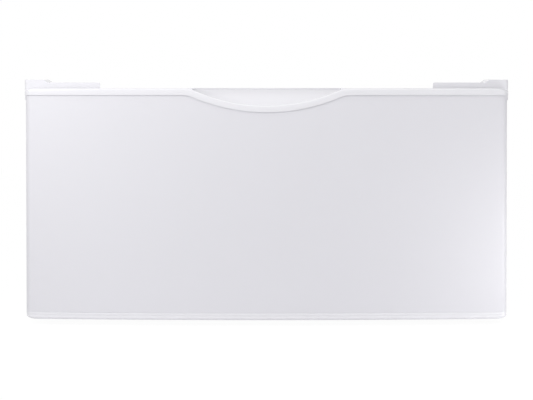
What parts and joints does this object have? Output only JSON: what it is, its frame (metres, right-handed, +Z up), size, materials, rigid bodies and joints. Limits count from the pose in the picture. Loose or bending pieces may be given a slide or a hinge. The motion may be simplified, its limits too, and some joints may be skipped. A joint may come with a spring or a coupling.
{
  "type": "washer pedestal drawer",
  "caption": "Low white pedestal for a washer, with a bowed full-width drawer on telescopic slides, a scooped finger recess and levelling feet.",
  "frame": {"origin": "on the floor, under the middle of the whole pedestal", "axes": "+X to the right as seen from the front, +Y from the drawer front to the back panel, +Z up"},
  "size_m": [0.686, 0.72, 0.347],
  "materials": {
    "white_enamel": "smooth satin white enamel on sheet steel",
    "trim_plastic": "moulded white plastic, semi-gloss",
    "drawer_enamel": "pale grey enamel on sheet steel, satin",
    "zinc_steel": "bright zinc plating",
    "bearing_steel": "polished steel, lightly oiled",
    "black_rubber": "moulded black rubber, matt"
  },
  "bodies": {
    "cabinet": {"side_panel_left": "white_enamel", "side_panel_right": "white_enamel", "back_panel": "white_enamel", "top_deck": "white_enamel", "front_top_rail": "white_enamel", "rear_top_rail": "white_enamel", "front_base_rail": "white_enamel", "rear_base_rail": "white_enamel", "foot_bracket_front_left": "zinc_steel", "foot_bracket_front_right": "zinc_steel", "foot_bracket_rear_left": "zinc_steel", "foot_bracket_rear_right": "zinc_steel", "foot_weld_nuts": "zinc_steel", "foot_lock_nuts": "zinc_steel", "slide_bracket_left": "zinc_steel", "slide_bracket_right": "zinc_steel", "slide_outer_left": "zinc_steel", "slide_outer_right": "zinc_steel", "front_corner_cap_left": "trim_plastic", "front_corner_cap_right": "trim_plastic", "rear_corner_cap_left": "trim_plastic", "rear_corner_cap_right": "trim_plastic", "drawer_bumpers": "black_rubber", "cabinet_screws": "zinc_steel", "cap_screws": "zinc_steel", "slide_screws": "zinc_steel"},
    "drawer": {"front_panel": "white_enamel", "top_trim": "trim_plastic", "handle_cup": "trim_plastic", "bottom_trim": "trim_plastic", "inner_panel": "drawer_enamel", "drawer_side_left": "drawer_enamel", "drawer_side_right": "drawer_enamel", "drawer_back": "drawer_enamel", "drawer_bottom": "drawer_enamel", "slide_inner_left": "zinc_steel", "slide_inner_right": "zinc_steel", "drawer_box_screws": "zinc_steel", "front_screws": "zinc_steel", "slide_rivets": "zinc_steel"},
    "middle_member_left": {"slide_middle_left": "zinc_steel"},
    "outer_cage_left": {"slide_outer_cage_left": "bearing_steel", "slide_outer_balls_left": "bearing_steel"},
    "inner_cage_left": {"slide_inner_cage_left": "bearing_steel", "slide_inner_balls_left": "bearing_steel"},
    "middle_member_right": {"slide_middle_right": "zinc_steel"},
    "outer_cage_right": {"slide_outer_cage_right": "bearing_steel", "slide_outer_balls_right": "bearing_steel"},
    "inner_cage_right": {"slide_inner_cage_right": "bearing_steel", "slide_inner_balls_right": "bearing_steel"},
    "pad_front_left": {"foot_pad_front_left": "black_rubber"},
    "stud_front_left": {"foot_stud_front_left": "zinc_steel"},
    "pad_front_right": {"foot_pad_front_right": "black_rubber"},
    "stud_front_right": {"foot_stud_front_right": "zinc_steel"},
    "pad_rear_left": {"foot_pad_rear_left": "black_rubber"},
    "stud_rear_left": {"foot_stud_rear_left": "zinc_steel"},
    "pad_rear_right": {"foot_pad_rear_right": "black_rubber"},
    "stud_rear_right": {"foot_stud_rear_right": "zinc_steel"}
  },
  "joints": [
    {"name": "drawer_slide", "type": "slide", "parent": "cabinet", "child": "drawer", "axis": [0, -1, 0], "range_m": [0, 0.46]},
    {"name": "middle_member_left_slide", "type": "slide", "parent": "cabinet", "child": "middle_member_left", "axis": [0, -1, 0], "range_m": [0, 0.23]},
    {"name": "outer_cage_left_slide", "type": "slide", "parent": "cabinet", "child": "outer_cage_left", "axis": [0, -1, 0], "range_m": [0, 0.115]},
    {"name": "inner_cage_left_slide", "type": "slide", "parent": "cabinet", "child": "inner_cage_left", "axis": [0, -1, 0], "range_m": [0, 0.345]},
    {"name": "middle_member_right_slide", "type": "slide", "parent": "cabinet", "child": "middle_member_right", "axis": [0, -1, 0], "range_m": [0, 0.23]},
    {"name": "outer_cage_right_slide", "type": "slide", "parent": "cabinet", "child": "outer_cage_right", "axis": [0, -1, 0], "range_m": [0, 0.115]},
    {"name": "inner_cage_right_slide", "type": "slide", "parent": "cabinet", "child": "inner_cage_right", "axis": [0, -1, 0], "range_m": [0, 0.345]},
    {"name": "foot_lift_front_left", "type": "slide", "parent": "cabinet", "child": "pad_front_left", "axis": [0, 0, -1], "range_m": [0, 0.018]},
    {"name": "foot_turn_front_left", "type": "hinge", "parent": "pad_front_left", "child": "stud_front_left", "pos_m": [-0.318, -0.2033, 0.03], "axis": [0, 0, -1], "range_deg": [0, 4320]},
    {"name": "foot_lift_front_right", "type": "slide", "parent": "cabinet", "child": "pad_front_right", "axis": [0, 0, -1], "range_m": [0, 0.018]},
    {"name": "foot_turn_front_right", "type": "hinge", "parent": "pad_front_right", "child": "stud_front_right", "pos_m": [0.318, -0.2033, 0.03], "axis": [0, 0, -1], "range_deg": [0, 4320]},
    {"name": "foot_lift_rear_left", "type": "slide", "parent": "cabinet", "child": "pad_rear_left", "axis": [0, 0, -1], "range_m": [0, 0.018]},
    {"name": "foot_turn_rear_left", "type": "hinge", "parent": "pad_rear_left", "child": "stud_rear_left", "pos_m": [-0.318, 0.2876, 0.03], "axis": [0, 0, -1], "range_deg": [0, 4320]},
    {"name": "foot_lift_rear_right", "type": "slide", "parent": "cabinet", "child": "pad_rear_right", "axis": [0, 0, -1], "range_m": [0, 0.018]},
    {"name": "foot_turn_rear_right", "type": "hinge", "parent": "pad_rear_right", "child": "stud_rear_right", "pos_m": [0.318, 0.2876, 0.03], "axis": [0, 0, -1], "range_deg": [0, 4320]}
  ],
  "couplings": [
    {"joint": "middle_member_left_slide", "follows": "drawer_slide", "ratio": 0.5},
    {"joint": "outer_cage_left_slide", "follows": "drawer_slide", "ratio": 0.25},
    {"joint": "inner_cage_left_slide", "follows": "drawer_slide", "ratio": 0.75},
    {"joint": "middle_member_right_slide", "follows": "drawer_slide", "ratio": 0.5},
    {"joint": "outer_cage_right_slide", "follows": "drawer_slide", "ratio": 0.25},
    {"joint": "inner_cage_right_slide", "follows": "drawer_slide", "ratio": 0.75},
    {"joint": "foot_turn_front_left", "follows": "foot_lift_front_left", "rad_per_m": 4188.8},
    {"joint": "foot_turn_front_right", "follows": "foot_lift_front_right", "rad_per_m": 4188.8},
    {"joint": "foot_turn_rear_left", "follows": "foot_lift_rear_left", "rad_per_m": 4188.8},
    {"joint": "foot_turn_rear_right", "follows": "foot_lift_rear_right", "rad_per_m": 4188.8}
  ]
}
